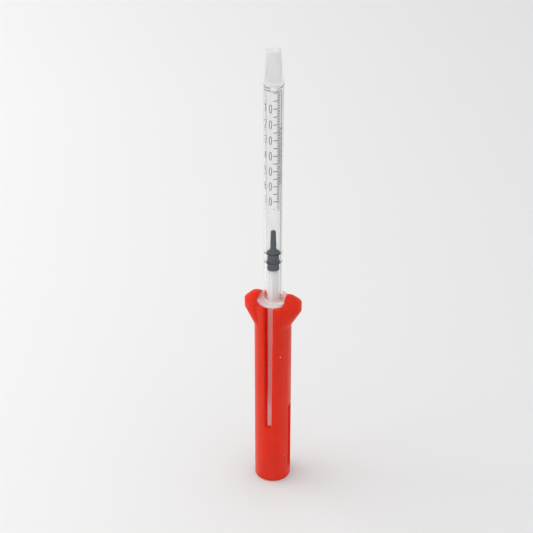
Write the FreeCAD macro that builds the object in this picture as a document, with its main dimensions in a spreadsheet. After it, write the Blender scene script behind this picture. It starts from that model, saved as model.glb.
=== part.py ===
import FreeCAD, Part
import Sketcher
import os

# A 1 ml oral syringe held tip up in a standing plunger guard.
#
# Frame: millimetres, +Z up, origin at the centre of the guard's base, on the surface it stands on.
# The guard's ears lie along X and its long slots face -Y and +Y.

doc = FreeCAD.newDocument("OralSyringe")

# Driving dimensions, in millimetres, degrees and counts.
DIMENSIONS = {
    # guard: a tube with a closed base, slots, windows and two ears
    "guard_radius": 6.6,
    "guard_bore_radius": 5.0,
    "guard_floor": 2.5,
    "guard_foot_round": 0.5,
    "shoulder_height": 76.2,
    "flare_start": 67.2,
    "flare_foot_inset": 0.3,
    "flare_end": 73.7,
    "ear_brow": 76.5,
    "ear_crest": 78.95,
    "ear_top": 79.55,
    "ear_reach": 10.3,
    "ear_depth": 4.7,
    "ear_crest_reach": 7.8,
    "ear_crest_depth": 1.7,
    "ear_top_reach": 5.7,
    "ear_top_depth": 0.8,
    "channel_half": 4.85,
    "channel_round": 1.8,
    "flange_seat_radius": 5.9,
    "flange_seat_height": 1.75,
    "slot_top_half": 1.7,
    "slot_foot_half": 1.35,
    "slot_foot": 24.9,
    "slot_foot_round": 0.95,
    "window_half": 2.0,
    "window_foot": 4.4,
    "window_head": 33.1,
    "window_round": 1.2,
    "cut_overrun": 1.0,
    # barrel
    "flange_foot": 76.4,
    "flange_radius": 5.75,
    "flange_thick": 1.3,
    "flange_round": 0.4,
    "barrel_radius": 3.25,
    "barrel_root_radius": 3.35,
    "barrel_draft_top": 97.0,
    "bore_radius": 2.375,
    "bore_end": 156.9,
    "barrel_end": 158.4,
    "barrel_end_round": 0.5,
    "nozzle_root_radius": 2.26,
    "nozzle_tip_radius": 1.99,
    "nozzle_bore_radius": 1.15,
    "nozzle_end": 167.4,
    # printed scale
    "ink_thick": 0.03,
    "tick_height": 0.25,
    "tick_pitch": 0.5646,
    "tick_count": 101,
    "long_tick_count": 21,
    "tick_end_angle": -35.6,
    "short_tick_sweep": 16.0,
    "long_tick_sweep": 39.0,
    # stopper
    "stopper_foot": 89.6,
    "stopper_body_radius": 1.97,
    "stopper_foot_radius": 2.08,
    "stopper_foot_height": 0.9,
    "stopper_foot_slope": 0.2,
    "ring_radius": 2.355,
    "ring_height": 0.7,
    "ring_slope": 0.25,
    "low_ring": 92.6,
    "high_ring": 96.2,
    "cone_top": 97.6,
    "nose_root_radius": 1.07,
    "nose_tip_radius": 0.88,
    "nose_shoulder": 104.1,
    "nose_end": 104.8,
    "nose_end_radius": 0.4,
    "socket_radius": 1.2,
    "socket_depth": 3.2,
    "socket_tip": 0.6,
    # plunger rod
    "rod_radius": 1.95,
    "web_half": 0.45,
    "web_inset": 0.1,
    "collar_height": 1.2,
    "neck_clearance": 0.02,
    "neck_end_gap": 0.1,
    "neck_tip": 0.5,
    "thumb_foot": 9.5,
    "thumb_thick": 1.5,
    "thumb_radius": 4.5,
    "thumb_round": 0.4,
    # tip cap
    "cap_foot": 158.9,
    "cap_rim_radius": 3.75,
    "cap_rim_height": 1.0,
    "cap_root_radius": 2.8,
    "cap_top_radius": 2.3,
    "cap_end": 170.6,
    "cap_clearance": 0.04,
    "cap_end_wall": 2.4,
    "cap_round": 0.45,
    "cap_rib_proud": 0.12,
    "cap_rib_half": 0.16,
    "cap_rib_root": 0.2,
    "cap_rib_head": 168.4,
    "cap_rib_count": 12,
}

sheet = doc.addObject("Spreadsheet::Sheet", "dims")
for row, (alias, value) in enumerate(DIMENSIONS.items(), start=1):
    sheet.set(f"A{row}", alias)
    sheet.set(f"B{row}", str(value))
    sheet.setAlias(f"B{row}", alias)
doc.recompute()


def expression(text):
    """An expression in which every driving dimension's name points at the sheet."""
    words = []
    for word in text.split():
        words.append(f"dims.{word}" if word in DIMENSIONS else word)
    return " ".join(words)


def number(text):
    """The present value of an expression in the driving dimensions."""
    return float(sheet.evalExpression(expression(text)))


def new_body(label):
    body = doc.addObject("PartDesign::Body", label)
    body.Label = label
    return body


def new_sketch(body, name, plane, height="0", turn="0"):
    """A sketch on one of the body's own origin planes, lifted along the plane's normal.

    An upright sketch can also be turned about the Z axis, by an angle in degrees.
    """
    sketch = body.newObject("Sketcher::SketchObject", name)
    planes = [item for item in body.Origin.OriginFeatures if item.Role == plane]
    sketch.AttachmentSupport = [(planes[0], "")]
    sketch.MapMode = "FlatFace"
    upright = FreeCAD.Rotation(FreeCAD.Vector(0, 1, 0), number(turn))
    sketch.AttachmentOffset = FreeCAD.Placement(FreeCAD.Vector(0, 0, 0), upright)
    sketch.setExpression("AttachmentOffset.Base.z", expression(height))
    if turn != "0":
        sketch.setExpression("AttachmentOffset.Rotation.Angle", expression(turn))
    return sketch


def place_point(sketch, geometry, end, across, up):
    """Fix one end of a sketch edge at two expressions measured from the sketch's origin."""
    for kind, text in (("DistanceX", across), ("DistanceY", up)):
        index = sketch.addConstraint(Sketcher.Constraint(kind, -1, 1, geometry, end, number(text)))
        sketch.setExpression(f"Constraints[{index}]", expression(text))


def outline(sketch, corners):
    """A closed outline through corners.

    A corner is (across, up), or (across, up, radius) when the edge that leaves it is an arc of
    that radius to the next corner, turning anticlockwise; a negative radius turns clockwise.
    """
    points = [FreeCAD.Vector(number(corner[0]), number(corner[1]), 0) for corner in corners]
    starts, finishes = [], []
    for index, corner in enumerate(corners):
        here, there = points[index], points[(index + 1) % len(points)]
        if len(corner) == 2:
            sketch.addGeometry(Part.LineSegment(here, there))
            starts.append(1)
            finishes.append(2)
            continue
        radius = number(corner[2])
        clockwise = radius < 0
        first, last = (there, here) if clockwise else (here, there)
        ring = Part.Circle(arc_centre(here, there, radius), FreeCAD.Vector(0, 0, 1), abs(radius))
        sketch.addGeometry(Part.ArcOfCircle(ring, ring.parameter(first), ring.parameter(last)))
        starts.append(2 if clockwise else 1)
        finishes.append(1 if clockwise else 2)
    for index, corner in enumerate(corners):
        after = (index + 1) % len(corners)
        sketch.addConstraint(Sketcher.Constraint("Coincident", index, finishes[index],
                                                 after, starts[after]))
        place_point(sketch, index, starts[index], corner[0], corner[1])
        if len(corner) == 3:
            chord = points[after] - points[index]
            hold_arc(sketch, index, corner, chord)


def hold_arc(sketch, index, corner, chord):
    """Fix an arc whose ends are fixed: by its radius, or a half circle by its centre."""
    radius = abs(number(corner[2]))
    nearly_half = 0.9995
    if chord.Length < 2 * radius * nearly_half:
        held = sketch.addConstraint(Sketcher.Constraint("Radius", index, radius))
        text = corner[2].lstrip("- ")
    elif abs(chord.x) < abs(chord.y):
        text = corner[0]
        held = sketch.addConstraint(Sketcher.Constraint("DistanceX", -1, 1, index, 3, number(text)))
    else:
        text = corner[1]
        held = sketch.addConstraint(Sketcher.Constraint("DistanceY", -1, 1, index, 3, number(text)))
    sketch.setExpression(f"Constraints[{held}]", expression(text))


def arc_centre(here, there, radius):
    """The centre of the short arc between two points; a negative radius turns clockwise."""
    middle = (here + there) * 0.5
    chord = there - here
    rise = max(radius * radius - chord.Length * chord.Length / 4, 0) ** 0.5
    side = FreeCAD.Vector(-chord.y, chord.x, 0)
    side.normalize()
    return middle + side * (rise if radius > 0 else -rise)


def circle(sketch, radius):
    sketch.addGeometry(Part.Circle(FreeCAD.Vector(0, 0, 0), FreeCAD.Vector(0, 0, 1), number(radius)))
    sketch.addConstraint(Sketcher.Constraint("Coincident", 0, 3, -1, 1))
    index = sketch.addConstraint(Sketcher.Constraint("Radius", 0, number(radius)))
    sketch.setExpression(f"Constraints[{index}]", expression(radius))


def revolve(body, name, corners, sweep="360", start="0"):
    """A profile in an upright plane through the Z axis, turned about that axis."""
    sketch = new_sketch(body, f"{name}Profile", "XZ_Plane", turn=start)
    outline(sketch, corners)
    turned = body.newObject("PartDesign::Revolution", name)
    turned.Profile = sketch
    turned.ReferenceAxis = (sketch, ["V_Axis"])
    turned.setExpression("Angle", expression(sweep))
    return turned


def raise_pad(body, name, sketch, height):
    pad = body.newObject("PartDesign::Pad", name)
    pad.Profile = sketch
    pad.setExpression("Length", expression(height))
    return pad


def cut_pocket(body, name, sketch, depth, reverse=False, midplane=False):
    """A pocket that must take material away."""
    doc.recompute()
    before = body.Shape.Volume
    pocket = body.newObject("PartDesign::Pocket", name)
    pocket.Profile = sketch
    pocket.setExpression("Length", expression(depth))
    pocket.Reversed = reverse
    pocket.Midplane = midplane
    doc.recompute()
    if body.Shape.Volume >= before:
        raise RuntimeError(f"{name} cuts nothing")
    return pocket


def round_edges(body, name, base, radius, wanted):
    """Fillet those edges of a feature for which wanted(edge) is true."""
    doc.recompute()
    edges = [f"Edge{place}" for place, edge in enumerate(base.Shape.Edges, start=1) if wanted(edge)]
    if not edges:
        raise RuntimeError(f"{name} found no edge")
    fillet = body.newObject("PartDesign::Fillet", name)
    fillet.Base = (base, edges)
    fillet.setExpression("Radius", expression(radius))
    return fillet


def is_ring(edge, height, radius, tolerance=0.01):
    """True for a full circle about the Z axis at this height and radius."""
    if not isinstance(edge.Curve, Part.Circle) or not edge.isClosed():
        return False
    off_height = abs(edge.Curve.Center.z - number(height))
    off_radius = abs(edge.Curve.Radius - number(radius))
    return off_height < tolerance and off_radius < tolerance


def rounded_bar(sketch, reach, depth):
    """An outline along X with half-round ends, from -reach to reach and -depth to depth."""
    outline(sketch, [
        (f"- ( {reach} - {depth} )", f"- {depth}"),
        (f"{reach} - {depth}", f"- {depth}", depth),
        (f"{reach} - {depth}", depth),
        (f"- ( {reach} - {depth} )", depth, depth),
    ])


def build_guard():
    """The red guard: tube, flared ears, U-channel, flange seat, slots and side windows."""
    body = new_body("holder")
    foot = new_sketch(body, "TubeSection", "XY_Plane")
    circle(foot, "guard_radius")
    tube = raise_pad(body, "Tube", foot, "shoulder_height")
    sections = []
    for name, height, reach, depth in (
            ("FlareFoot", "flare_start", "guard_radius", "guard_radius - flare_foot_inset"),
            ("FlareHead", "flare_end", "ear_reach", "ear_depth"),
            ("Brow", "ear_brow", "ear_reach", "ear_depth"),
            ("Crest", "ear_crest", "ear_crest_reach", "ear_crest_depth"),
            ("Crown", "ear_top", "ear_top_reach", "ear_top_depth")):
        section = new_sketch(body, name, "XY_Plane", height)
        rounded_bar(section, reach, f"( {depth} )")
        sections.append(section)
    doc.recompute()
    ears = body.newObject("PartDesign::AdditiveLoft", "Ears")
    ears.Profile = sections[0]
    ears.Sections = sections[1:]
    ears.Ruled = True
    bore = new_sketch(body, "BoreSection", "XY_Plane", "guard_floor")
    circle(bore, "guard_bore_radius")
    cut_pocket(body, "Bore", bore, "ear_top", reverse=True)
    channel = new_sketch(body, "ChannelSection", "XZ_Plane")
    outline(channel, [
        ("- ( channel_half - channel_round )", "shoulder_height"),
        ("channel_half - channel_round", "shoulder_height", "channel_round"),
        ("channel_half", "shoulder_height + channel_round"),
        ("channel_half", "ear_top + cut_overrun"),
        ("- channel_half", "ear_top + cut_overrun"),
        ("- channel_half", "shoulder_height + channel_round", "channel_round"),
    ])
    cut_pocket(body, "Channel", channel, "4 * ear_reach", midplane=True)
    seat = new_sketch(body, "SeatSection", "XY_Plane", "shoulder_height")
    circle(seat, "flange_seat_radius")
    cut_pocket(body, "FlangeSeat", seat, "flange_seat_height", reverse=True)
    slot = new_sketch(body, "SlotSection", "XZ_Plane")
    outline(slot, [
        ("- ( slot_foot_half - slot_foot_round )", "slot_foot"),
        ("slot_foot_half - slot_foot_round", "slot_foot", "slot_foot_round"),
        ("slot_foot_half", "slot_foot + slot_foot_round"),
        ("slot_top_half", "shoulder_height + cut_overrun"),
        ("- slot_top_half", "shoulder_height + cut_overrun"),
        ("- slot_foot_half", "slot_foot + slot_foot_round", "slot_foot_round"),
    ])
    cut_pocket(body, "Slots", slot, "4 * guard_radius", midplane=True)
    window = new_sketch(body, "WindowSection", "YZ_Plane")
    outline(window, [
        ("- ( window_half - window_round )", "window_foot"),
        ("window_half - window_round", "window_foot", "window_round"),
        ("window_half", "window_foot + window_round"),
        ("window_half", "window_head - window_round", "window_round"),
        ("window_half - window_round", "window_head"),
        ("- ( window_half - window_round )", "window_head", "window_round"),
        ("- window_half", "window_head - window_round"),
        ("- window_half", "window_foot + window_round", "window_round"),
    ])
    windows = cut_pocket(body, "Windows", window, "4 * guard_radius", midplane=True)
    round_edges(body, "FootRound", windows, "guard_foot_round",
                lambda edge: is_ring(edge, "0", "guard_radius"))
    return body


def build_barrel():
    """The clear barrel: open at the flange, closed round the nozzle."""
    body = new_body("barrel")
    shell = revolve(body, "Shell", [
        ("bore_radius", "flange_foot"),
        ("flange_radius", "flange_foot"),
        ("flange_radius", "flange_foot + flange_thick"),
        ("barrel_root_radius", "flange_foot + flange_thick"),
        ("barrel_radius", "barrel_draft_top"),
        ("barrel_radius", "barrel_end"),
        ("nozzle_root_radius", "barrel_end"),
        ("nozzle_tip_radius", "nozzle_end"),
        ("nozzle_bore_radius", "nozzle_end"),
        ("nozzle_bore_radius", "bore_end"),
        ("bore_radius", "bore_end"),
    ])
    rims = (("flange_foot", "flange_radius"), ("flange_foot + flange_thick", "flange_radius"),
            ("flange_foot + flange_thick", "barrel_root_radius"))
    flange = round_edges(body, "FlangeRound", shell, "flange_round",
                         lambda edge: any(is_ring(edge, *rim) for rim in rims))
    round_edges(body, "EndRound", flange, "barrel_end_round",
                lambda edge: is_ring(edge, "barrel_end", "barrel_radius"))
    return body


def build_ticks(label):
    """The printed graduation marks: short ones at every unit and long ones at every fifth."""
    body = new_body(label)
    body.AllowCompound = True
    marks = (("Short", "short_tick_sweep", "tick_pitch * ( tick_count - 1 )", "tick_count"),
             ("Long", "long_tick_sweep", "tick_pitch * ( tick_count - 1 )", "long_tick_count"))
    for name, sweep, length, count in marks:
        tick = revolve(body, f"{name}Tick", [
            ("barrel_radius", "bore_end - tick_height / 2"),
            ("barrel_radius + ink_thick", "bore_end - tick_height / 2"),
            ("barrel_radius + ink_thick", "bore_end + tick_height / 2"),
            ("barrel_radius", "bore_end + tick_height / 2"),
        ], sweep, f"tick_end_angle - {sweep}")
        doc.recompute()
        row = body.newObject("PartDesign::LinearPattern", f"{name}Row")
        row.Originals = [tick]
        row.Direction = (tick.Profile[0], ["V_Axis"])
        row.Reversed = True
        row.setExpression("Length", expression(length))
        row.setExpression("Occurrences", expression(count))
        body.Tip = row
        doc.recompute()
    return body


def build_stopper():
    """The rubber stopper: two sealing rings, a long nose and a socket for the rod's neck."""
    body = new_body("stopper")
    profile = [
        ("socket_radius", "stopper_foot"),
        ("stopper_foot_radius", "stopper_foot"),
        ("stopper_foot_radius", "stopper_foot + stopper_foot_height"),
        ("stopper_body_radius", "stopper_foot + stopper_foot_height + stopper_foot_slope"),
    ]
    for ring in ("low_ring", "high_ring"):
        profile += [
            ("stopper_body_radius", f"{ring} - ring_height / 2 - ring_slope"),
            ("ring_radius", f"{ring} - ring_height / 2"),
            ("ring_radius", f"{ring} + ring_height / 2"),
            ("stopper_body_radius", f"{ring} + ring_height / 2 + ring_slope"),
        ]
    profile += [
        ("nose_root_radius", "cone_top"),
        ("nose_tip_radius", "nose_shoulder"),
        ("nose_end_radius", "nose_end"),
        ("0", "nose_end"),
        ("0", "stopper_foot + socket_depth + socket_tip"),
        ("socket_radius", "stopper_foot + socket_depth"),
    ]
    revolve(body, "Moulding", profile)
    return body


def build_rod():
    """The plunger rod: thumb disc, crossed webs, collar under the stopper and neck inside it."""
    body = new_body("plunger_rod")
    spine = revolve(body, "Spine", [
        ("0", "thumb_foot"),
        ("thumb_radius", "thumb_foot"),
        ("thumb_radius", "thumb_foot + thumb_thick"),
        ("web_half", "thumb_foot + thumb_thick"),
        ("web_half", "stopper_foot - collar_height"),
        ("rod_radius", "stopper_foot - collar_height"),
        ("rod_radius", "stopper_foot"),
        ("socket_radius - neck_clearance", "stopper_foot"),
        ("socket_radius - neck_clearance", "stopper_foot + socket_depth - neck_end_gap"),
        ("0", "stopper_foot + socket_depth - neck_end_gap + neck_tip"),
    ])
    rims = ("thumb_foot", "thumb_foot + thumb_thick")
    round_edges(body, "ThumbRound", spine, "thumb_round",
                lambda edge: any(is_ring(edge, rim, "thumb_radius") for rim in rims))
    webs = new_sketch(body, "WebSection", "XY_Plane", "thumb_foot + thumb_thick / 2")
    outline(webs, [
        ("web_half", "- rod_radius + web_inset"),
        ("web_half", "- web_half"),
        ("rod_radius - web_inset", "- web_half"),
        ("rod_radius - web_inset", "web_half"),
        ("web_half", "web_half"),
        ("web_half", "rod_radius - web_inset"),
        ("- web_half", "rod_radius - web_inset"),
        ("- web_half", "web_half"),
        ("- rod_radius + web_inset", "web_half"),
        ("- rod_radius + web_inset", "- web_half"),
        ("- web_half", "- web_half"),
        ("- web_half", "- rod_radius + web_inset"),
    ])
    raise_pad(body, "Webs", webs, "stopper_foot - collar_height / 2 - thumb_foot - thumb_thick / 2")
    return body


def build_cap():
    """The tip cap: a tapered, ribbed thimble with a rim, pushed over the nozzle."""
    body = new_body("tip_cap")
    thimble = revolve(body, "Thimble", [
        ("nozzle_root_radius + cap_clearance", "cap_foot"),
        ("cap_rim_radius", "cap_foot"),
        ("cap_rim_radius", "cap_foot + cap_rim_height"),
        ("cap_root_radius", "cap_foot + cap_rim_height"),
        ("cap_top_radius", "cap_end"),
        ("0", "cap_end"),
        ("0", "cap_end - cap_end_wall"),
        ("nozzle_tip_radius + cap_clearance", "cap_end - cap_end_wall"),
    ])
    rims = (("cap_end", "cap_top_radius"), ("cap_foot + cap_rim_height", "cap_rim_radius"))
    round_edges(body, "CapRound", thimble, "cap_round",
                lambda edge: any(is_ring(edge, *rim) for rim in rims))
    doc.recompute()
    side = new_sketch(body, "RibSection", "XZ_Plane")
    outline(side, [
        ("cap_root_radius - cap_rib_root", "cap_foot + cap_rim_height / 2"),
        ("cap_root_radius + cap_rib_proud", "cap_foot + cap_rim_height / 2"),
        ("cap_top_radius + cap_rib_proud", "cap_rib_head"),
        ("cap_top_radius - cap_rib_root", "cap_rib_head"),
    ])
    rib = raise_pad(body, "Rib", side, "2 * cap_rib_half")
    rib.Midplane = True
    doc.recompute()
    ribs = body.newObject("PartDesign::PolarPattern", "Ribs")
    ribs.Originals = [rib]
    ribs.Axis = (side, ["V_Axis"])
    ribs.Angle = 360
    ribs.setExpression("Occurrences", expression("cap_rib_count"))
    body.Tip = ribs
    return body


def check_and_write(bodies):
    """Stop on any failed object or bad shape, then write one STEP file for each sub-part."""
    doc.recompute()
    for item in doc.Objects:
        if "Invalid" in item.State or "Error" in item.State:
            raise RuntimeError(f"{item.Label} failed: {item.State}")
    os.makedirs("parts", exist_ok=True)
    for body in bodies:
        shape = body.Shape
        if shape.isNull() or not shape.isValid():
            raise RuntimeError(f"{body.Label} has a bad shape")
        box = shape.BoundBox
        shape.exportStep(os.path.join("parts", f"{body.Label}.step"))
        print(f"{body.Label}: {len(shape.Solids)} solids, {shape.Volume:.2f} mm3, "
              f"x {box.XMin:.2f}..{box.XMax:.2f} y {box.YMin:.2f}..{box.YMax:.2f} "
              f"z {box.ZMin:.2f}..{box.ZMax:.2f}")


check_and_write([
    build_guard(),
    build_barrel(),
    build_ticks("scale_ticks"),
    build_stopper(),
    build_rod(),
    build_cap(),
])
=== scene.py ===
import bpy
import numpy as np
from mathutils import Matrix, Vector


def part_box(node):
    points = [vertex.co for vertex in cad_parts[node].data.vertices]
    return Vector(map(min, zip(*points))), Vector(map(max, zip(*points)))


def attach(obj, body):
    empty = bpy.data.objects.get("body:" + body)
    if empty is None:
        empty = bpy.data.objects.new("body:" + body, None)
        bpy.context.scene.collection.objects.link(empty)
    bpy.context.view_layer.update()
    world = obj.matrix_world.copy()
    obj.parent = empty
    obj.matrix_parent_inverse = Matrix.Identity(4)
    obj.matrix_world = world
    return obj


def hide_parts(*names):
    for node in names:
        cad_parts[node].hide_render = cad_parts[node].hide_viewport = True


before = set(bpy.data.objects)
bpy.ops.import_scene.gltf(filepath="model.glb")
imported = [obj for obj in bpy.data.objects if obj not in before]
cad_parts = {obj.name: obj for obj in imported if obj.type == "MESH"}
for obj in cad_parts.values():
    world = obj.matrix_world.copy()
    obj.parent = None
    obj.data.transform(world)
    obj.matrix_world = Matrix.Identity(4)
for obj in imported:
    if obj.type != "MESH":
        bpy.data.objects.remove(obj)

bl_info = {
    "name": "Oral Syringe in a Plunger Guard",
    "version": (1, 0, 0),
    "blender": (4, 5, 0),
    "location": "View3D > Sidebar > Syringe",
    "description": "Finished pieces of an oral syringe that stands in its plunger guard",
    "category": "Object",
}

MM = 0.001
SHARP = np.radians(32)
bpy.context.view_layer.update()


# ---------------------------------------------------------------- measures taken from the frame


def cad_points(node):
    """Every vertex of a CAD node, as an array of rows x, y, z."""
    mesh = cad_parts[node].data
    points = np.empty(len(mesh.vertices) * 3)
    mesh.vertices.foreach_get("co", points)
    return points.reshape(-1, 3)


def cad_radius(node, low, high, pick=np.max):
    """The largest (or smallest) distance from the Z axis among a node's vertices between two heights."""
    points = cad_points(node)
    near = points[(points[:, 2] > low) & (points[:, 2] < high)]
    return float(pick(np.hypot(near[:, 0], near[:, 1])))


def span(node):
    """The lowest and highest Z of a CAD node."""
    low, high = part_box(node)
    return low.z, high.z


FLANGE_FOOT, NOZZLE_END = span("barrel")
CAP_FOOT, CAP_END = span("tip_cap")
ROD_FOOT, NECK_END = span("plunger_rod")
STOPPER_FOOT, NOSE_END = span("stopper")
TICK_LAST, TICK_ZERO = span("scale_ticks")
INK_OUTSIDE = cad_radius("scale_ticks", TICK_LAST - MM, TICK_ZERO + MM)
INK_INSIDE = cad_radius("scale_ticks", TICK_LAST - MM, TICK_ZERO + MM, np.min)
FLANGE_RADIUS = cad_radius("barrel", FLANGE_FOOT - MM, FLANGE_FOOT + MM)
BORE_RADIUS = cad_radius("barrel", FLANGE_FOOT - MM, FLANGE_FOOT + MM, np.min)
NOZZLE_BORE = cad_radius("barrel", NOZZLE_END - MM, NOZZLE_END + MM, np.min)
CAP_RIM = cad_radius("tip_cap", CAP_FOOT - MM, CAP_FOOT + MM)
THUMB_RADIUS = cad_radius("plunger_rod", ROD_FOOT - MM, ROD_FOOT + MM)
SOCKET_RADIUS = cad_radius("stopper", STOPPER_FOOT - 0.1 * MM, STOPPER_FOOT + 0.1 * MM, np.min)


# ---------------------------------------------------------------- settings


def length(name, description, millimetres, **more):
    """A setting that is a length, with its default given in millimetres."""
    return bpy.props.FloatProperty(
        name=name, description=description, default=millimetres * MM, unit="LENGTH", **more)


def metres(name, description, default):
    """A setting that is a length, with its default given in metres."""
    return bpy.props.FloatProperty(name=name, description=description, default=default, unit="LENGTH")


def angle(name, description, degrees):
    """A setting that is an angle, with its default given in degrees."""
    return bpy.props.FloatProperty(
        name=name, description=description, default=np.radians(degrees), subtype="ANGLE")


def number(name, description, default, **more):
    """A setting that is a plain number."""
    return bpy.props.FloatProperty(name=name, description=description, default=default, **more)


def tone(name, description, default):
    """A setting that is a colour."""
    return bpy.props.FloatVectorProperty(
        name=name, description=description, default=default, size=3, subtype="COLOR", min=0, max=1)


class GuardSettings(bpy.types.PropertyGroup):
    """The guard's edges and finish"""
    edge_round: length("Edge rounding", "Width of the soft edge left by the mould", 0.22)
    crease: angle("Crease angle", "Edges that turn by more than this are rounded", 24.0)
    sharp: angle("Sharp angle", "Edges that turn by more than this after rounding stay sharp", 40.0)
    weld: length("Weld", "Points nearer than this are joined before rounding", 0.004, precision=5)
    colour: tone("Colour", "Red of the guard", (0.75, 0.036, 0.015))
    roughness: number("Roughness", "Satin finish of the moulding", 0.38, min=0, max=1)
    glow: tone("Glow", "Tint of bounced light that a wall lets through", (0.78, 0.18, 0.16))


class BarrelSettings(bpy.types.PropertyGroup):
    """Sizes and clearness of the barrel and its flange"""
    flange_thick: length("Flange thickness", "Height of the finger flange", 1.3)
    end_wall: length("End wall", "Thickness of the wall round the nozzle's root", 1.5)
    nozzle_length: length("Nozzle length", "From the end wall to the nozzle's tip", 9.0)
    root_radius: length("Root radius", "Outside radius just above the flange", 3.35)
    draft_top: length("Draft top", "Height over the flange where the wall becomes parallel", 20.6)
    nozzle_root: length("Nozzle root", "Outside radius of the nozzle at its root", 2.26)
    nozzle_tip: length("Nozzle tip", "Outside radius of the nozzle at its tip", 1.99)
    ior: number("Refractive index", "How strongly the plastic bends light", 1.42, min=1, max=3)
    tint: tone("Tint", "Light that each wall lets through", (0.96, 0.965, 0.958))
    clarity: number("Clarity", "Share of light that passes the wall without scatter", 0.985, min=0, max=1)
    roughness: number("Roughness", "Haze of the wall", 0.015, min=0, max=1)
    flange_clarity: number(
        "Flange clarity", "Share of light that passes the flange without scatter", 0.72, min=0, max=1)
    flange_roughness: number("Flange roughness", "Haze of the flange", 0.1, min=0, max=1)


class PrintSettings(bpy.types.PropertyGroup):
    """The scale's figures and the strip of dashes"""
    numeral_height: length("Numeral height", "Height of the figures", 3.1)
    numeral_width: length("Numeral width", "Width of the figures round the barrel", 1.1)
    stroke: length("Stroke", "Width of a printed line", 0.2)
    tens_angle: angle("Tens angle", "Direction of the tens figure round the barrel", -128.2)
    units_angle: angle("Units angle", "Direction of the last figure round the barrel", -91.6)
    side_angle: angle("Side marks angle", "Direction of the strip of dashes", -28.6)
    unit: length("Unit", "Height of one unit of the scale", 0.5646, precision=5)
    sound_to: number("Sound to", "Units down to which the print is sound", 62.0)
    gone_from: number("Gone from", "Units from which the print has worn away", 80.0)
    colour: tone("Ink", "Colour of the print", (0.07, 0.075, 0.09))


class PlungerSettings(bpy.types.PropertyGroup):
    """Sizes and colours of the rod and its stopper"""
    rod_radius: length("Rod radius", "Half the width of the crossed webs", 1.84)
    web_half: length("Half web", "Half the thickness of a web", 0.45)
    thumb_thick: length("Thumb disc", "Thickness of the thumb disc", 1.5)
    thumb_dish: length("Thumb dish", "Depth of the hollow under the thumb disc", 0.25)
    collar: length("Collar", "Height of the collar under the stopper", 1.2)
    neck_length: length("Neck", "Height of the neck inside the stopper", 3.1)
    ring_bite: length("Ring bite", "How far a sealing ring presses into the bore's wall", 0.012, precision=5)
    stopper_foot: length("Stopper foot", "Radius of the stopper at its foot", 2.08)
    stopper_body: length("Stopper body", "Radius of the stopper between its rings", 1.97)
    low_ring: length("Low ring", "Height of the lower sealing ring over the stopper's foot", 3.0)
    high_ring: length("High ring", "Height of the upper sealing ring over the stopper's foot", 6.6)
    nose_foot: length("Nose foot", "Height of the nose's root over the stopper's foot", 8.0)
    nose_root: length("Nose root", "Radius of the nose at its root", 1.07)
    nose_tip: length("Nose tip", "Radius of the nose at its tip", 0.88)
    rubber: tone("Rubber", "Colour of the stopper", (0.034, 0.046, 0.064))
    # Painted shade: a darker colour for the rubber where its rings meet the bore, not a colour of the rubber
    # itself.
    pressed: tone("Painted contact shade", "Colour of the rubber against the bore", (0.012, 0.014, 0.016))
    white: tone("Rod", "Colour of the rod", (0.95, 0.95, 0.955))


class CapSettings(bpy.types.PropertyGroup):
    """Sizes and colour of the tip cap"""
    rim_height: length("Rim height", "Height of the cap's rim", 1.0)
    root_radius: length("Root radius", "Outside radius just above the rim", 2.8)
    top_radius: length("Top radius", "Outside radius at the closed end", 2.3)
    top_thick: length("Top thickness", "Thickness of the closed end", 2.4)
    bore_foot: length("Bore foot", "Radius of the cap's bore at its mouth", 2.30)
    bore_top: length("Bore top", "Radius of the cap's bore at its closed end", 2.03)
    dimple: length("Dimple", "Depth of the hollow in the closed end", 0.2)
    ribs: bpy.props.IntProperty(name="Ribs", description="Grip ribs round the cap", default=12, min=3)
    rib_proud: length("Rib height", "How far a rib stands out", 0.12)
    rib_width: length("Rib width", "Half the width of a rib, where it falls to 1 / e", 0.17)
    colour: tone("Colour", "Milky white of the cap", (0.995, 0.995, 0.995))


class StageSettings(bpy.types.PropertyGroup):
    """The camera, the floor, the room and the lamps"""
    azimuth: angle("Azimuth", "Camera's direction round the guard", 16.4)
    pitch: angle("Pitch", "How far the camera looks down", 31.0)
    yaw: angle("Yaw", "How far the camera turns left of the object", 0.32)
    distance: metres("Distance", "Level distance from the camera to the object's axis", 0.4159)
    height: metres("Height", "Camera's height over the floor", 0.3401)
    lens: number("Lens", "Focal length for a 36 mm sensor, in millimetres", 94.56)
    # The floor's colour at its left and right: painted light at the left and painted shade at the right, in
    # place of the lamps' fall-off across the floor.
    floor_left: tone("Floor, left", "Colour of the paper floor at the left", (0.91, 0.91, 0.912))
    floor_right: tone("Floor, right", "Colour of the paper floor at the right", (0.82, 0.82, 0.815))
    table: tone("Table", "Colour of the table beyond the paper's sides", (0.45, 0.45, 0.45))
    paper_left: metres("Paper, left", "From the object to the paper's left edge", 0.19)
    paper_right: metres("Paper, right", "From the object to the paper's right edge", 0.13)
    surround: number("Surround", "Brightness of the white room overhead", 0.85)
    horizon: number("Horizon", "Brightness of the room's walls against overhead", 0.76)
    key: number("Key", "Power of the softbox at the left, in watts", 0.75)
    back: number("Back", "Power of the softbox behind on the left, in watts", 1.15)
    wide: number("Wide", "Power of the large far softbox, in watts", 1.4)


# ---------------------------------------------------------------- surfaces


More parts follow.
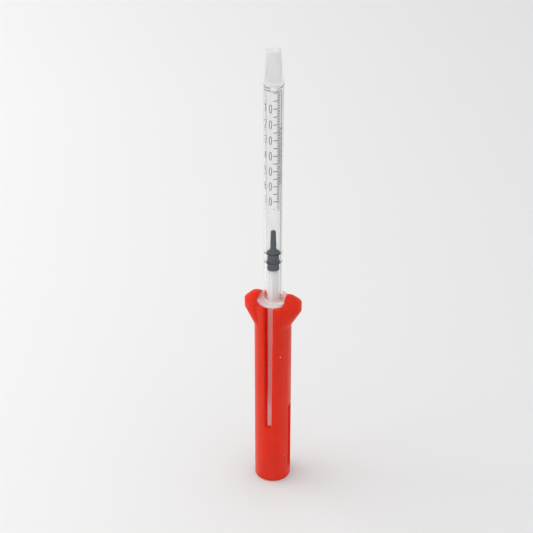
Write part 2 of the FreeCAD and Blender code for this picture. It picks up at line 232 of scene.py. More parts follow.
def rounded_profile(corners, closed=False, steps=7):
    """The profile through corners (across, up, rounding), as an array of rows across, up.

    Each corner with a rounding becomes an arc tangent to both its sides: the arc's centre lies on
    the corner's bisector at rounding / sin(half the angle), and its points turn evenly round it.
    An open profile keeps its first and last corners sharp.
    """
    rows = []
    places = np.array([corner[:2] for corner in corners], float)
    for index, corner in enumerate(corners):
        here = places[index]
        inner = closed or 0 < index < len(corners) - 1
        rounding = corner[2] if len(corner) > 2 and inner else 0
        if rounding == 0:
            rows.append(here[None])
            continue
        back = places[index - 1] - here
        ahead = places[(index + 1) % len(corners)] - here
        back, ahead = back / np.linalg.norm(back), ahead / np.linalg.norm(ahead)
        half = np.arccos(np.clip(back @ ahead, -1, 1)) / 2
        bisector = (back + ahead) / np.linalg.norm(back + ahead)
        centre = here + bisector * rounding / np.sin(half)
        first = here + back * rounding / np.tan(half) - centre
        last = here + ahead * rounding / np.tan(half) - centre
        sweep = np.pi - 2 * half
        share = np.linspace(0, 1, steps)[:, None]
        arms = np.sin((1 - share) * sweep) * first + np.sin(share * sweep) * last
        rows.append(centre + arms / np.sin(sweep))
    return np.concatenate(rows)


def refined(profile, longest):
    """The same open profile with extra rows, so that no stretch is much longer than the longest given."""
    walked = np.concatenate([[0], np.cumsum(np.linalg.norm(np.diff(profile, axis=0), axis=1))])
    extra = np.linspace(0, walked[-1], int(walked[-1] / longest) + 2)
    stops = np.unique(np.concatenate([walked, extra]).round(8))
    return np.stack([np.interp(stops, walked, column) for column in profile.T], axis=-1)


def turned(profile, spokes=96):
    """A profile turned about Z: point (i, j) is (r_i cos t_j, r_i sin t_j, z_i), t_j evenly spaced."""
    turn = np.linspace(0, 2 * np.pi, spokes, endpoint=False)
    radius, height = profile[:, 0:1], profile[:, 1:2]
    return np.stack([radius * np.cos(turn), radius * np.sin(turn), height + 0 * turn], axis=-1)


def grid_faces(rows, columns, wrap_rows):
    """Quads joining each point of a grid to its next row and column.

    The columns close on themselves, and so do the rows when they are to wrap.
    """
    last_row = rows if wrap_rows else rows - 1
    row, column = np.meshgrid(np.arange(last_row), np.arange(columns), indexing="ij")
    next_row, next_column = (row + 1) % rows, (column + 1) % columns
    corners = [row * columns + column, row * columns + next_column,
               next_row * columns + next_column, next_row * columns + column]
    return np.stack(corners, axis=-1).reshape(-1, 4)


def grid_object(name, points, wrap_rows=False):
    """A closed piece from a grid whose columns close on themselves.

    Where the rows don't, a fan to the first and last rows' centres closes the ends.
    """
    rows, columns = points.shape[:2]
    vertices = points.reshape(-1, 3)
    faces = grid_faces(rows, columns, wrap_rows).tolist()
    if not wrap_rows:
        around = np.arange(columns)
        after = (around + 1) % columns
        count = len(vertices)
        vertices = np.concatenate([vertices, points[:1].mean(axis=1), points[-1:].mean(axis=1)])
        lower = np.stack([after, around, np.full(columns, count)], axis=-1)
        top = (rows - 1) * columns
        upper = np.stack([top + around, top + after, np.full(columns, count + 1)], axis=-1)
        faces += lower.tolist() + upper.tolist()
    return mesh_object(name, vertices, faces)


def mesh_object(name, vertices, faces):
    """A new object at the origin, smooth except where its faces turn by more than the sharp angle."""
    mesh = bpy.data.meshes.new(name)
    mesh.from_pydata(vertices, [], faces)
    mesh.validate()
    mesh.shade_smooth()
    mesh.set_sharp_from_angle(angle=SHARP)
    piece = bpy.data.objects.new(name, mesh)
    bpy.context.scene.collection.objects.link(piece)
    return piece


def ribbon(centres, across, out, width, thick):
    """A flat ribbon with square edges, carried along centres.

    Each row has four corners: the centre plus or minus half the width along its across direction,
    at the surface and raised by the thickness along its out direction.
    """
    side = across * width / 2
    lift = out * thick
    return np.stack([centres + side, centres + side + lift, centres - side + lift, centres - side], axis=1)


def placed(piece, body, slot_name, material, *nodes):
    """Finish a piece: its material, its body and the CAD nodes that it stands for. The slot name is not
    used.
    """
    piece.data.materials.clear()
    piece.data.materials.append(material)
    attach(piece, body)
    if nodes:
        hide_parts(*nodes)
    return piece


# ---------------------------------------------------------------- shader groups and materials


def socket(group, name, direction, kind, default=None):
    """A new input or output of a shader group."""
    made = group.interface.new_socket(name=name, in_out=direction, socket_type=kind)
    if default is not None:
        made.default_value = default
    return made


def node(tree, kind, **values):
    """A shader node with some properties set."""
    made = tree.nodes.new(kind)
    for name, value in values.items():
        setattr(made, name, value)
    return made


def feed(tree, target, **sources):
    """Set a node's inputs by name: a socket is linked and a number or colour is set."""
    for name, source in sources.items():
        spot = target.inputs[name.replace("_", " ")]
        if isinstance(source, bpy.types.NodeSocket):
            tree.links.new(source, spot)
        else:
            spot.default_value = source


def noise(tree, where, scale, detail=3.0, roughness=0.5):
    """Cloudy noise from 0 to 1 at a place."""
    made = node(tree, "ShaderNodeTexNoise")
    feed(tree, made, Vector=where, Scale=scale, Detail=detail, Roughness=roughness)
    return made.outputs["Fac"]


def remap(tree, value, low, high, to_low, to_high):
    """A value moved in a straight line from one range to another, and held at its ends."""
    made = node(tree, "ShaderNodeMapRange")
    feed(tree, made, Value=value, From_Min=low, From_Max=high, To_Min=to_low, To_Max=to_high)
    return made.outputs["Result"]


def arithmetic(tree, operation, first, second):
    """Two values put through one operation of the Math node."""
    made = node(tree, "ShaderNodeMath", operation=operation)
    for spot, source in zip(made.inputs, (first, second)):
        if isinstance(source, bpy.types.NodeSocket):
            tree.links.new(source, spot)
        else:
            spot.default_value = source
    return made.outputs["Value"]


def mixed_colour(tree, factor, first, second, blend="MIX"):
    """The first colour blended towards the second by a factor from 0 to 1."""
    made = node(tree, "ShaderNodeMix", data_type="RGBA", blend_type=blend)
    for index, source in ((0, factor), (6, first), (7, second)):
        if isinstance(source, bpy.types.NodeSocket):
            tree.links.new(source, made.inputs[index])
        elif index == 0:
            made.inputs[index].default_value = source
        else:
            made.inputs[index].default_value = (*source[:3], 1.0)
    return made.outputs[2]


def moulded_group():
    """Moulded plastic or rubber: fine grain, slow mottling of colour and gloss, and pale dust specks.

    Height is the grain plus a little of the mottling. Colour is the base darkened and lightened by
    the mottling, then mixed with dust where a cell's speck lies. Roughness follows the mottling.
    """
    if "moulded finish" in bpy.data.node_groups:
        return bpy.data.node_groups["moulded finish"]
    group = bpy.data.node_groups.new("moulded finish", "ShaderNodeTree")
    socket(group, "Colour", "INPUT", "NodeSocketColor", (0.8, 0.8, 0.8, 1))
    socket(group, "Dust", "INPUT", "NodeSocketColor", (0.9, 0.88, 0.86, 1))
    for name, default in (("Mottling", 0.06), ("Roughness", 0.4), ("Roughness Spread", 0.08),
                          ("Grain Scale", 3500.0), ("Mottling Scale", 160.0), ("Speck Scale", 700.0),
                          ("Speck Size", 0.16), ("Speck Share", 0.02)):
        socket(group, name, "INPUT", "NodeSocketFloat", default)
    socket(group, "Colour", "OUTPUT", "NodeSocketColor")
    socket(group, "Roughness", "OUTPUT", "NodeSocketFloat")
    socket(group, "Height", "OUTPUT", "NodeSocketFloat")
    given, result = node(group, "NodeGroupInput"), node(group, "NodeGroupOutput")
    asked = given.outputs
    where = node(group, "ShaderNodeTexCoord").outputs["Object"]
    grain = noise(group, where, asked["Grain Scale"], 2.0)
    slow = noise(group, where, asked["Mottling Scale"], 4.0)
    swing = remap(group, slow, 0.3, 0.7, -1.0, 1.0)
    value = arithmetic(group, "ADD", 1.0, arithmetic(group, "MULTIPLY", swing, asked["Mottling"]))
    shade = node(group, "ShaderNodeHueSaturation")
    feed(group, shade, Color=asked["Colour"], Value=value)
    cells = node(group, "ShaderNodeTexVoronoi")
    feed(group, cells, Vector=where, Scale=asked["Speck Scale"])
    near = arithmetic(group, "LESS_THAN", cells.outputs["Distance"], asked["Speck Size"])
    pick = node(group, "ShaderNodeSeparateColor")
    feed(group, pick, Color=cells.outputs["Color"])
    chosen = arithmetic(group, "LESS_THAN", pick.outputs[0], asked["Speck Share"])
    speck = arithmetic(group, "MULTIPLY", near, chosen)
    dusted = mixed_colour(group, speck, shade.outputs["Color"], asked["Dust"])
    gloss = arithmetic(group, "ADD", asked["Roughness"],
                       arithmetic(group, "MULTIPLY", swing, asked["Roughness Spread"]))
    height = arithmetic(group, "ADD", grain, arithmetic(group, "MULTIPLY", slow, 0.4))
    for name, source in (("Colour", dusted), ("Roughness", gloss), ("Height", height)):
        group.links.new(source, result.inputs[name])
    return group


def wear_group():
    """Printed ink that rubs off: a mask that is 1 where ink is left and 0 where it has worn away.

    Noise is compared with a limit that rises from the top of the scale to its foot, so the last
    marks are left as specks.
    """
    group = bpy.data.node_groups.new("print wear", "ShaderNodeTree")
    for name, default in (("Wear Scale", 900.0), ("Sound Above", 0.12), ("Gone Below", 0.11),
                          ("Thinning", 0.3)):
        socket(group, name, "INPUT", "NodeSocketFloat", default)
    socket(group, "Ink", "OUTPUT", "NodeSocketFloat")
    given, result = node(group, "NodeGroupInput"), node(group, "NodeGroupOutput")
    asked = given.outputs
    where = node(group, "ShaderNodeTexCoord").outputs["Object"]
    parts = node(group, "ShaderNodeSeparateXYZ")
    feed(group, parts, Vector=where)
    patches = noise(group, where, asked["Wear Scale"], 4.0, 0.65)
    limit = remap(group, parts.outputs["Z"], asked["Gone Below"], asked["Sound Above"], 0.68, 0.1)
    edge = arithmetic(group, "SUBTRACT", patches, limit)
    left = remap(group, edge, -0.02, 0.03, 0.0, 1.0)
    slow = noise(group, where, 260.0, 2.0)
    thin = remap(group, slow, 0.3, 0.7, 0.0, asked["Thinning"])
    ink = arithmetic(group, "MULTIPLY", left, arithmetic(group, "SUBTRACT", 1.0, thin))
    group.links.new(ink, result.inputs["Ink"])
    return group


def only(tree, kind):
    """The one node of a kind in a material's tree."""
    return next(item for item in tree.nodes if item.type == kind)


def new_material(name):
    """An empty material, its tree and its Principled shader."""
    material = bpy.data.materials.new(name)
    material.use_nodes = True
    tree = material.node_tree
    return material, tree, only(tree, "BSDF_PRINCIPLED")


def moulded_material(name, colour, roughness, bump, shader_values, **finish):
    """A material in the moulded finish, with its grain as a bump of the given depth in metres."""
    material, tree, shader = new_material(name)
    group = node(tree, "ShaderNodeGroup", node_tree=moulded_group())
    feed(tree, group, Colour=(*colour, 1.0), Roughness=roughness, **finish)
    relief = node(tree, "ShaderNodeBump")
    feed(tree, relief, Strength=1.0, Distance=bump, Height=group.outputs["Height"])
    feed(tree, shader, Base_Color=group.outputs["Colour"], Roughness=group.outputs["Roughness"],
         Normal=relief.outputs["Normal"])
    feed(tree, shader, **shader_values)
    return material


def pass_rays(material, rays=("Is Diffuse Ray", "Is Shadow Ray"), tint=(0.97, 0.97, 0.97)):
    """Let some kinds of ray go straight through a material, tinted once at each surface.

    As it stands, light bounced from other surfaces and the light of lamps both pass.
    """
    tree = material.node_tree
    surface = only(tree, "BSDF_PRINCIPLED").outputs["BSDF"]
    path = node(tree, "ShaderNodeLightPath")
    through = node(tree, "ShaderNodeBsdfTransparent")
    feed(tree, through, Color=(*tint, 1.0))
    for ray in rays:
        blend = node(tree, "ShaderNodeMixShader")
        tree.links.new(path.outputs[ray], blend.inputs[0])
        tree.links.new(surface, blend.inputs[1])
        tree.links.new(through.outputs["BSDF"], blend.inputs[2])
        surface = blend.outputs["Shader"]
    tree.links.new(surface, only(tree, "OUTPUT_MATERIAL").inputs["Surface"])


def clear_material(name, colour, ior, roughness, clarity):
    """Clear plastic with faint flow lines along it; clarity is the share of light it doesn't scatter."""
    material, tree, shader = new_material(name)
    where = node(tree, "ShaderNodeTexCoord").outputs["Object"]
    stretched = node(tree, "ShaderNodeMapping")
    feed(tree, stretched, Vector=where, Scale=(1.0, 1.0, 0.04))
    flow = noise(tree, stretched.outputs["Vector"], 900.0, 3.0)
    relief = node(tree, "ShaderNodeBump")
    feed(tree, relief, Strength=0.02, Distance=0.01 * MM, Height=flow)
    feed(tree, shader, Base_Color=(*colour, 1.0), Roughness=roughness, IOR=ior,
         Transmission_Weight=clarity, Normal=relief.outputs["Normal"])
    pass_rays(material)
    return material


def ink_material(name, colour, sound_above, gone_below):
    """Printed ink with its worn places left clear."""
    material, tree, shader = new_material(name)
    wear = node(tree, "ShaderNodeGroup", node_tree=wear_group())
    feed(tree, wear, Sound_Above=sound_above, Gone_Below=gone_below)
    feed(tree, shader, Base_Color=(*colour, 1.0), Roughness=0.5, Alpha=wear.outputs["Ink"])
    return material


# ---------------------------------------------------------------- operators


class SYRINGE_OT_guard(bpy.types.Operator):
    """Round the edges of the guard's moulding and give it its satin red finish"""
    bl_idname = "syringe.guard"
    bl_label = "Guard"

    def execute(self, context):
        look = context.scene.syringe_guard
        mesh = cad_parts["holder"].data.copy()
        mesh.name = "guard_moulding"
        piece = bpy.data.objects.new("guard_moulding", mesh)
        context.scene.collection.objects.link(piece)
        weld = piece.modifiers.new("Weld", "WELD")
        weld.merge_threshold = look.weld
        bevel = piece.modifiers.new("Edge round", "BEVEL")
        bevel.width = look.edge_round
        bevel.segments = 3
        bevel.angle_limit = look.crease
        settled = bpy.data.meshes.new_from_object(piece.evaluated_get(context.evaluated_depsgraph_get()))
        piece.modifiers.clear()
        piece.data = settled
        settled.shade_smooth()
        settled.set_sharp_from_angle(angle=look.sharp)
        finish = moulded_material(
            "guard red plastic", look.colour, look.roughness, 0.012 * MM,
            {"IOR": 1.45, "Specular_IOR_Level": 0.12, "Subsurface_Weight": 1.0,
             "Subsurface_Radius": (1.0, 0.07, 0.04), "Subsurface_Scale": 0.006,
             "Sheen_Weight": 0.1, "Sheen_Roughness": 0.5, "Sheen_Tint": (1.0, 0.32, 0.12, 1.0)},
            Mottling=0.05, Roughness_Spread=0.06, Speck_Share=0.012)
        pass_rays(finish, ("Is Diffuse Ray",), look.glow)
        placed(piece, "guard", "guard_plastic", finish, "holder")
        return {"FINISHED"}


class SYRINGE_OT_barrel(bpy.types.Operator):
    """Turn the clear barrel with its nozzle, and the thicker, cloudier flange round its foot"""
    bl_idname = "syringe.barrel"
    bl_label = "Barrel"

    def execute(self, context):
        size = context.scene.syringe_barrel
        flange_top = FLANGE_FOOT + size.flange_thick
        end = NOZZLE_END - size.nozzle_length
        bore_end = end - size.end_wall
        tube = rounded_profile([
            (BORE_RADIUS, FLANGE_FOOT, 0.15 * MM),
            (size.root_radius, FLANGE_FOOT),
            (size.root_radius, flange_top),
            (INK_INSIDE, FLANGE_FOOT + size.draft_top),
            (INK_INSIDE, end, 0.5 * MM),
            (size.nozzle_root, end, 0.2 * MM),
            (size.nozzle_tip, NOZZLE_END, 0.2 * MM),
            (NOZZLE_BORE, NOZZLE_END, 0.1 * MM),
            (NOZZLE_BORE, bore_end, 0.15 * MM),
            (BORE_RADIUS, bore_end, 0.2 * MM),
        ], closed=True)
        piece = grid_object("clear_barrel", turned(tube, 128), wrap_rows=True)
        clear = clear_material("clear barrel plastic", size.tint, size.ior, size.roughness, size.clarity)
        placed(piece, "syringe", "clear_plastic", clear, "barrel")
        joint = size.root_radius + 0.01 * MM
        ring = rounded_profile([
            (joint, FLANGE_FOOT),
            (FLANGE_RADIUS, FLANGE_FOOT, 0.4 * MM),
            (FLANGE_RADIUS, flange_top, 0.4 * MM),
            (joint + 0.6 * MM, flange_top, 0.5 * MM),
            (joint, flange_top + 0.6 * MM),
        ], closed=True)
        piece = grid_object("finger_flange", turned(ring, 128), wrap_rows=True)
        cloudy = clear_material(
            "cloudy flange plastic", size.tint, size.ior, size.flange_roughness, size.flange_clarity)
        placed(piece, "syringe", "clear_plastic", cloudy)
        return {"FINISHED"}


def arc(centre, size, start, finish, steps=18):
    """Points on an ellipse: centre plus (width cos t, height sin t), t in degrees from start to finish."""
    turn = np.radians(np.linspace(start, finish, steps))
    return np.stack([centre[0] + size[0] * np.cos(turn), centre[1] + size[1] * np.sin(turn)], axis=-1)


def line(*points):
    """A few points in a row, with each stretch divided so that it can follow the barrel."""
    points = np.array(points, float)
    share = np.linspace(0, 1, 6, endpoint=False)[:, None]
    stretches = [here + (there - here) * share for here, there in zip(points[:-1], points[1:])]
    return np.concatenate([*stretches, points[-1:]])


# Strokes of each figure, in a box from -0.5 to 0.5 across and -0.5 to 0.5 up.
FIGURES = {
    "0": [arc((0, 0), (0.46, 0.5), 90, 450, 28)],
    "1": [line((-0.28, 0.28), (0.05, 0.5), (0.05, -0.5))],
    "2": [np.concatenate([arc((0, 0.25), (0.42, 0.25), 170, -20), line((0.38, 0.12), (-0.44, -0.5))]),
          line((-0.44, -0.5), (0.44, -0.5))],
    "3": [arc((-0.02, 0.25), (0.4, 0.25), 160, -90), arc((-0.02, -0.25), (0.44, 0.25), 90, -160)],
    "4": [line((0.22, -0.5), (0.22, 0.5), (-0.46, -0.2), (0.46, -0.2))],
    "5": [line((0.38, 0.5), (-0.34, 0.5), (-0.38, 0.04)), arc((-0.02, -0.2), (0.44, 0.3), 125, -150)],
    "6": [arc((0, -0.2), (0.42, 0.3), 90, 450, 24), arc((0.2, -0.1), (0.62, 0.6), 105, 178)],
    "7": [line((-0.44, 0.5), (0.44, 0.5), (-0.1, -0.5))],
    "8": [arc((0, 0.26), (0.36, 0.24), 90, 450, 24), arc((0, -0.24), (0.44, 0.26), 90, 450, 24)],
    "9": [arc((0, 0.2), (0.42, 0.3), 90, 450, 24), arc((-0.2, 0.1), (0.62, 0.6), -75, -2)],
}


def printed_strokes(strokes, middle, height, size, stroke, radius, thick):
    """Strokes wrapped on the barrel: a stroke's across is an angle round Z and its up is a height.

    The ribbon's out direction is the radius there, and its across direction is square to both the
    stroke and the radius.
    """
    ribbons = []
    for points in strokes:
        turn = middle + points[:, 0] * size[0] / radius
        out = np.stack([np.cos(turn), np.sin(turn), 0 * turn], axis=-1)
        centres = out * radius + np.stack([0 * turn, 0 * turn, height + points[:, 1] * size[1]], axis=-1)
        along = np.gradient(centres, axis=0)
        across = np.cross(out, along)
        across /= np.linalg.norm(across, axis=1)[:, None]
        ribbons.append(ribbon(centres, across, out, stroke, thick))
    return ribbons


def joined_ribbons(name, ribbons):
    """One object from several ribbons, each closed by a quad at both its ends."""
    vertices, faces, count = [], [], 0
    for points in ribbons:
        rows = len(points)
        quads = grid_faces(rows, 4, wrap_rows=False) + count
        ends = np.array([[3, 2, 1, 0], [0, 1, 2, 3]]) + [[count], [count + (rows - 1) * 4]]
        vertices.append(points.reshape(-1, 3))
        faces += quads.tolist() + ends.tolist()
        count += rows * 4
    return mesh_object(name, np.concatenate(vertices), faces)


class SYRINGE_OT_print(bpy.types.Operator):
    """Print the scale's marks, its figures and a strip of plain dashes on the barrel"""
    bl_idname = "syringe.print"
    bl_label = "Print"

    def execute(self, context):
        size = context.scene.syringe_print
        thick = INK_OUTSIDE - INK_INSIDE
        zero = TICK_ZERO - 0.1 * MM
        sound, gone = zero - size.sound_to * size.unit, zero - size.gone_from * size.unit
        ink = ink_material("printed ink", size.colour, sound, gone)
        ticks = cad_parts["scale_ticks"]
        ticks.data.materials.clear()
        ticks.data.materials.append(ink)
        box = (size.numeral_width - size.stroke, size.numeral_height - size.stroke)
        figures = []
        for tens in range(10, 101, 10):
            height = zero - tens * size.unit
            step = size.units_angle - size.tens_angle
            for place, figure in enumerate(reversed(str(tens))):
                turn = size.units_angle - place * step
                figures += printed_strokes(
                    FIGURES[figure], turn, height, box, size.stroke, INK_INSIDE, thick)
        placed(joined_ribbons("scale_numerals", figures), "syringe", "scale_ink", ink)
        dashes = self.dashes(size, thick, zero)
        placed(joined_ribbons("side_dashes", dashes), "syringe", "scale_ink", ink)
        return {"FINISHED"}

    def dashes(self, size, thick, zero):
        """Two lines of dashes of uneven length along the barrel, with gaps as between words."""
        draw = np.random.default_rng(7)
        top, bottom = zero - 22 * size.unit, zero - 59.5 * size.unit
        word_gap, letter_gap, word_share = 0.9 * MM, 0.28 * MM, 0.22
        found = []
        for offset in (-0.09, 0.09):
            height = top
            while height > bottom:
                dash = (0.5 + 0.9 * draw.random()) * MM
                gap = word_gap if draw.random() < word_share else letter_gap
                strokes = [line((0, 0), (0, -dash))]
                found += printed_strokes(strokes, size.side_angle + offset, height, (1, 1),
                                         size.stroke, INK_INSIDE, thick)
                height -= dash + gap
        return found


class SYRINGE_OT_stopper(bpy.types.Operator):
    """Turn the rubber stopper with its sealing rings and long nose"""
    bl_idname = "syringe.stopper"
    bl_label = "Stopper"

    def execute(self, context):
        size = context.scene.syringe_plunger
        foot, body, ring = size.stopper_foot, size.stopper_body, BORE_RADIUS + size.ring_bite
        corners = [
            (0.1 * MM, STOPPER_FOOT + 3.8 * MM),
            (SOCKET_RADIUS, STOPPER_FOOT + 3.2 * MM, 0.1 * MM),
            (SOCKET_RADIUS, STOPPER_FOOT),
            (foot, STOPPER_FOOT, 0.12 * MM),
            (foot, STOPPER_FOOT + 0.9 * MM, 0.1 * MM),
            (body, STOPPER_FOOT + 1.15 * MM, 0.1 * MM),
        ]
        for middle in (size.low_ring, size.high_ring):
            corners += [
                (body, STOPPER_FOOT + middle - 0.42 * MM, 0.14 * MM),
                (ring, STOPPER_FOOT + middle - 0.2 * MM, 0.06 * MM),
                (ring, STOPPER_FOOT + middle + 0.2 * MM, 0.06 * MM),
                (body, STOPPER_FOOT + middle + 0.42 * MM, 0.14 * MM),
            ]
        corners += [
            (size.nose_root, STOPPER_FOOT + size.nose_foot, 0.4 * MM),
            (size.nose_tip, NOSE_END, 0.62 * MM),
            (0.02 * MM, NOSE_END),
        ]
        piece = grid_object("rubber_stopper", turned(rounded_profile(corners), 96))
        rubber = moulded_material(
            "stopper rubber", size.rubber, 0.5, 0.01 * MM, {"IOR": 1.5, "Specular_IOR_Level": 0.3},
            Mottling=0.08, Roughness_Spread=0.08, Speck_Share=0.01, Speck_Scale=1600.0)
        # Painted shade where the sealing rings touch the bore.
        self.darken_contact(rubber.node_tree, ring, size.pressed)
        placed(piece, "plunger", "stopper_rubber", rubber, "stopper")
        return {"FINISHED"}

    def darken_contact(self, tree, ring, dark):
        """Paint shade on the rubber near the bore: where its radius nears a ring's, its colour is mixed
        towards the painted contact shade.
        """
        where = node(tree, "ShaderNodeTexCoord").outputs["Object"]
        level = node(tree, "ShaderNodeVectorMath", operation="MULTIPLY")
        tree.links.new(where, level.inputs[0])
        level.inputs[1].default_value = (1, 1, 0)
        radius = node(tree, "ShaderNodeVectorMath", operation="LENGTH")
        tree.links.new(level.outputs["Vector"], radius.inputs[0])
        # Mask of the painted contact shade: 0 away from the bore, rising to 1 near a ring's radius.
        pressed = remap(tree, radius.outputs["Value"], ring - 0.3 * MM, ring - 0.12 * MM, 0.0, 1.0)
        shader = only(tree, "BSDF_PRINCIPLED")
        plain = shader.inputs["Base Color"].links[0].from_socket
        feed(tree, shader, Base_Color=mixed_colour(tree, pressed, plain, dark))


def cross_section(reach, half):
    """The outline of two crossed webs: three corners of one arm's end and root, turned four times."""
    arm = np.array([(reach, -half), (reach, half), (half, half)])
    roundings = [0.12 * MM, 0.12 * MM, 0.2 * MM]
    corners = []
    for _ in range(4):
        corners += [(*place, rounding) for place, rounding in zip(arm, roundings)]
        arm = np.stack([-arm[:, 1], arm[:, 0]], axis=-1)
    loop = rounded_profile(corners, closed=True, steps=5)
    return refined(np.concatenate([loop, loop[:1]]), 0.16 * MM)[:-1]


class SYRINGE_OT_rod(bpy.types.Operator):
    """Shape the plunger rod: thumb disc, crossed webs, collar and neck"""
    bl_idname = "syringe.rod"
    bl_label = "Plunger rod"

    def execute(self, context):
        size = context.scene.syringe_plunger
        reach, half = size.rod_radius, size.web_half
        section = cross_section(reach, half)
        turn = np.arctan2(section[:, 1], section[:, 0])
        cross = np.hypot(section[:, 0], section[:, 1])
        ring = np.ones_like(cross)
        disc_top = ROD_FOOT + size.thumb_thick
        collar_foot = STOPPER_FOOT - size.collar
        neck = SOCKET_RADIUS - 0.02 * MM
        thumb = rounded_profile([
            (0.1 * MM, ROD_FOOT + size.thumb_dish),
            (0.4 * THUMB_RADIUS, ROD_FOOT + size.thumb_dish, 0.4 * MM),
            (0.55 * THUMB_RADIUS, ROD_FOOT, 0.4 * MM),
            (THUMB_RADIUS, ROD_FOOT, 0.4 * MM),
            (THUMB_RADIUS, disc_top, 0.4 * MM),
            (reach + 0.5 * MM, disc_top),
        ])
        head = rounded_profile([
            (reach, collar_foot + 0.1 * MM),
            (reach, STOPPER_FOOT, 0.12 * MM),
            (neck, STOPPER_FOOT),
            (neck, STOPPER_FOOT + size.neck_length, 0.2 * MM),
            (0.1 * MM, NECK_END),
        ])
        webs = np.linspace(disc_top + 0.3 * MM, collar_foot, 40)
        rows = [(height, across * ring) for across, height in thumb]
        rows += [(disc_top + 0.08 * MM, cross + 0.22 * MM * ring)]
        rows += [(height, cross) for height in webs]
        rows += [(height, across * ring) for across, height in head]
        heights = np.array([row[0] for row in rows])[:, None]
        radii = np.stack([row[1] for row in rows])
        points = np.stack([radii * np.cos(turn), radii * np.sin(turn), heights + 0 * radii], axis=-1)
        piece = grid_object("plunger_rod_webs", points)
        milky = moulded_material(
            "rod translucent plastic", size.white, 0.34, 0.006 * MM,
            {"IOR": 1.49, "Subsurface_Weight": 1.0, "Subsurface_Radius": (1.0, 1.0, 1.0),
             "Subsurface_Scale": 0.003},
            Mottling=0.02, Roughness_Spread=0.05, Speck_Share=0.0)
        placed(piece, "plunger", "rod_plastic", milky, "plunger_rod")
        return {"FINISHED"}


class SYRINGE_OT_cap(bpy.types.Operator):
    """Shape the ribbed, milky tip cap"""
    bl_idname = "syringe.cap"
    bl_label = "Tip cap"

    def execute(self, context):
        size = context.scene.syringe_cap
        rim_top = CAP_FOOT + size.rim_height
        bore_end = CAP_END - size.top_thick
        profile = rounded_profile([
            (0.1 * MM, bore_end),
            (size.bore_top, bore_end, 0.3 * MM),
            (size.bore_foot, CAP_FOOT, 0.1 * MM),
            (CAP_RIM, CAP_FOOT, 0.3 * MM),
            (CAP_RIM, rim_top, 0.35 * MM),
            (size.root_radius, rim_top, 0.25 * MM),
            (size.top_radius, CAP_END, 0.4 * MM),
            (0.62 * size.top_radius, CAP_END, 0.2 * MM),
            (0.52 * size.top_radius, CAP_END - size.dimple, 0.2 * MM),
            (0.1 * MM, CAP_END - size.dimple),
        ])
        points = turned(refined(profile, 0.4 * MM), 16 * size.ribs)
        self.raise_ribs(points, size, rim_top)
        piece = grid_object("milky_cap", points)
        milky = moulded_material(
            "cap translucent plastic", size.colour, 0.3, 0.006 * MM,
            {"IOR": 1.15, "Transmission_Weight": 0.55, "Subsurface_Weight": 1.0,
             "Subsurface_Radius": (1.0, 1.0, 1.0), "Subsurface_Scale": 0.004},
            Mottling=0.02, Roughness_Spread=0.03, Speck_Share=0.0)
        pass_rays(milky)
        placed(piece, "cap", "cap_plastic", milky, "tip_cap")
        return {"FINISHED"}

    def raise_ribs(self, points, size, rim_top):
        """Push the wall outwards by a bell curve at each rib, faded in and out along its height."""
        radius = np.hypot(points[..., 0], points[..., 1])
        turn = np.arctan2(points[..., 1], points[..., 0])
        pitch = 2 * np.pi / size.ribs
        off = (turn + pitch / 2) % pitch - pitch / 2
        bell = np.exp(-(off * radius / size.rib_width) ** 2)
        height = points[..., 2]
        fade_in = np.clip((height - rim_top - 0.1 * MM) / (0.6 * MM), 0, 1)
        fade_out = np.clip((CAP_END - 2.0 * MM - height) / (0.8 * MM), 0, 1)
        wall = radius > size.top_radius * 0.99
        push = 1 + wall * fade_in * fade_out * bell * size.rib_proud / np.maximum(radius, MM)
        points[..., :2] *= push[..., None]


def area_light(name, place, aim, width, power):
    """A soft square lamp at a place, facing its aim, that shows in no reflection or clear wall."""
    lamp = bpy.data.lights.new(name, "AREA")
    lamp.size = width
    lamp.energy = power
    holder = bpy.data.objects.new(name, lamp)
    holder.location = place
    facing = Vector(aim) - Vector(place)
    holder.rotation_euler = facing.to_track_quat("-Z", "Y").to_euler()
    holder.visible_transmission = False
    holder.visible_glossy = False
    bpy.context.scene.collection.objects.link(holder)


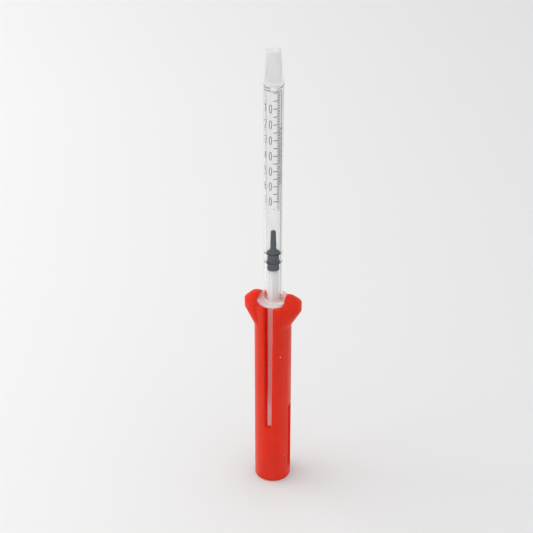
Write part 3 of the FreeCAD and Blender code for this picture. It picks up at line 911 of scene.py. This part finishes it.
class SYRINGE_OT_stage(bpy.types.Operator):
    """Set up the floor, the soft lamps and the camera"""
    bl_idname = "syringe.stage"
    bl_label = "Stage"

    def execute(self, context):
        view = context.scene.syringe_stage
        scene = context.scene
        self.floor(view)
        turn = view.azimuth
        towards = np.array([np.sin(turn), -np.cos(turn), 0])
        right = np.array([np.cos(turn), np.sin(turn), 0])
        up = np.array([0, 0, 1])
        aim = (0, 0, 0.08)
        beyond = -0.15 * towards
        area_light("key softbox", -0.6 * right + 0.1 * towards + 0.5 * up, aim, 0.45, view.key)
        area_light("back softbox", -0.7 * right - 0.3 * towards + 0.5 * up, beyond, 0.6, view.back)
        area_light("wide softbox", -right - 0.4 * towards + 0.9 * up, beyond, 0.9, view.wide)
        scene.world = self.room(view)
        scene.view_settings.view_transform = "Standard"
        camera = bpy.data.cameras.new("camera")
        camera.sensor_width = 36.0
        camera.lens = view.lens
        camera.clip_start = 0.01
        holder = bpy.data.objects.new("camera", camera)
        holder.location = towards * view.distance + up * view.height
        holder.rotation_euler = (np.pi / 2 - view.pitch, 0, turn + view.yaw)
        scene.collection.objects.link(holder)
        scene.camera = holder
        return {"FINISHED"}

    def room(self, view):
        """A white room whose walls are a little darker at the horizon than overhead."""
        world = bpy.data.worlds.new("studio")
        world.use_nodes = True
        tree = world.node_tree
        facing = node(tree, "ShaderNodeSeparateXYZ")
        feed(tree, facing, Vector=node(tree, "ShaderNodeTexCoord").outputs["Generated"])
        rise = remap(tree, facing.outputs["Z"], 0.0, 0.7, 0.0, 1.0)
        shade = mixed_colour(tree, rise, (view.horizon,) * 3, (1.0, 1.0, 1.0))
        feed(tree, tree.nodes["Background"], Color=shade, Strength=view.surround)
        return world

    def floor(self, view):
        """A sheet of pale paper on a darker table, with painted shade that darkens it a little to the right.
        """
        reach = 3.0
        corners = np.array([[-1, -1, 0], [1, -1, 0], [1, 1, 0], [-1, 1, 0]]) * reach
        ground = mesh_object("floor", corners - [0, 0, 0.00002], [[0, 1, 2, 3]])
        material, tree, shader = new_material("pale floor")
        where = node(tree, "ShaderNodeTexCoord").outputs["Object"]
        turn = view.azimuth
        across = self.along(tree, where, (np.cos(turn), np.sin(turn), 0))
        # Painted shade: the floor's colour is blended from the lighter left to the darker right.
        rightness = remap(tree, across, -0.2, 0.2, 0.0, 1.0)
        paper = mixed_colour(tree, rightness, view.floor_left, view.floor_right)
        cloud = noise(tree, where, 5.0, 2.0)
        tint = mixed_colour(tree, cloud, paper, (0.985, 0.985, 0.985), blend="MULTIPLY")
        taper = 0.13
        lean = taper * np.array([-np.sin(turn), np.cos(turn), 0])
        for side, edge in ((-1, view.paper_left), (1, view.paper_right)):
            outwards = side * np.array([np.cos(turn), np.sin(turn), 0]) - lean
            beyond = remap(tree, self.along(tree, where, outwards), edge, edge + 0.05, 0.0, 1.0)
            tint = mixed_colour(tree, beyond, tint, view.table)
        feed(tree, shader, Base_Color=tint, Roughness=0.6, Specular_IOR_Level=0.2)
        ground.data.materials.append(material)

    def along(self, tree, where, direction):
        """How far a place lies along a direction: their dot product."""
        product = node(tree, "ShaderNodeVectorMath", operation="DOT_PRODUCT")
        tree.links.new(where, product.inputs[0])
        product.inputs[1].default_value = tuple(direction)
        return product.outputs["Value"]


class SYRINGE_PT_panel(bpy.types.Panel):
    """A button for each piece, and every setting"""
    bl_label = "Oral Syringe"
    bl_idname = "SYRINGE_PT_panel"
    bl_space_type = "VIEW_3D"
    bl_region_type = "UI"
    bl_category = "Syringe"

    def draw(self, context):
        for operator in OPERATORS:
            self.layout.operator(operator.bl_idname)
        for name, settings in SETTINGS.items():
            box = self.layout.box()
            box.label(text=name.replace("syringe_", "").capitalize())
            for field in settings.__annotations__:
                box.prop(getattr(context.scene, name), field)


SETTINGS = {
    "syringe_guard": GuardSettings,
    "syringe_barrel": BarrelSettings,
    "syringe_print": PrintSettings,
    "syringe_plunger": PlungerSettings,
    "syringe_cap": CapSettings,
    "syringe_stage": StageSettings,
}
OPERATORS = (SYRINGE_OT_guard, SYRINGE_OT_barrel, SYRINGE_OT_print, SYRINGE_OT_stopper,
             SYRINGE_OT_rod, SYRINGE_OT_cap, SYRINGE_OT_stage)


def register():
    """Register the classes, and hang each group of settings on the scene."""
    for item in (*SETTINGS.values(), *OPERATORS, SYRINGE_PT_panel):
        bpy.utils.register_class(item)
    for name, settings in SETTINGS.items():
        setattr(bpy.types.Scene, name, bpy.props.PointerProperty(type=settings))


def unregister():
    """Take the settings off the scene and the classes out again."""
    for name in SETTINGS:
        delattr(bpy.types.Scene, name)
    for item in reversed((*SETTINGS.values(), *OPERATORS, SYRINGE_PT_panel)):
        bpy.utils.unregister_class(item)


def main():
    """Build every piece and the stage."""
    register()
    bpy.ops.syringe.guard()
    bpy.ops.syringe.barrel()
    bpy.ops.syringe.print()
    bpy.ops.syringe.stopper()
    bpy.ops.syringe.rod()
    bpy.ops.syringe.cap()
    bpy.ops.syringe.stage()


if __name__ == "__main__":
    main()
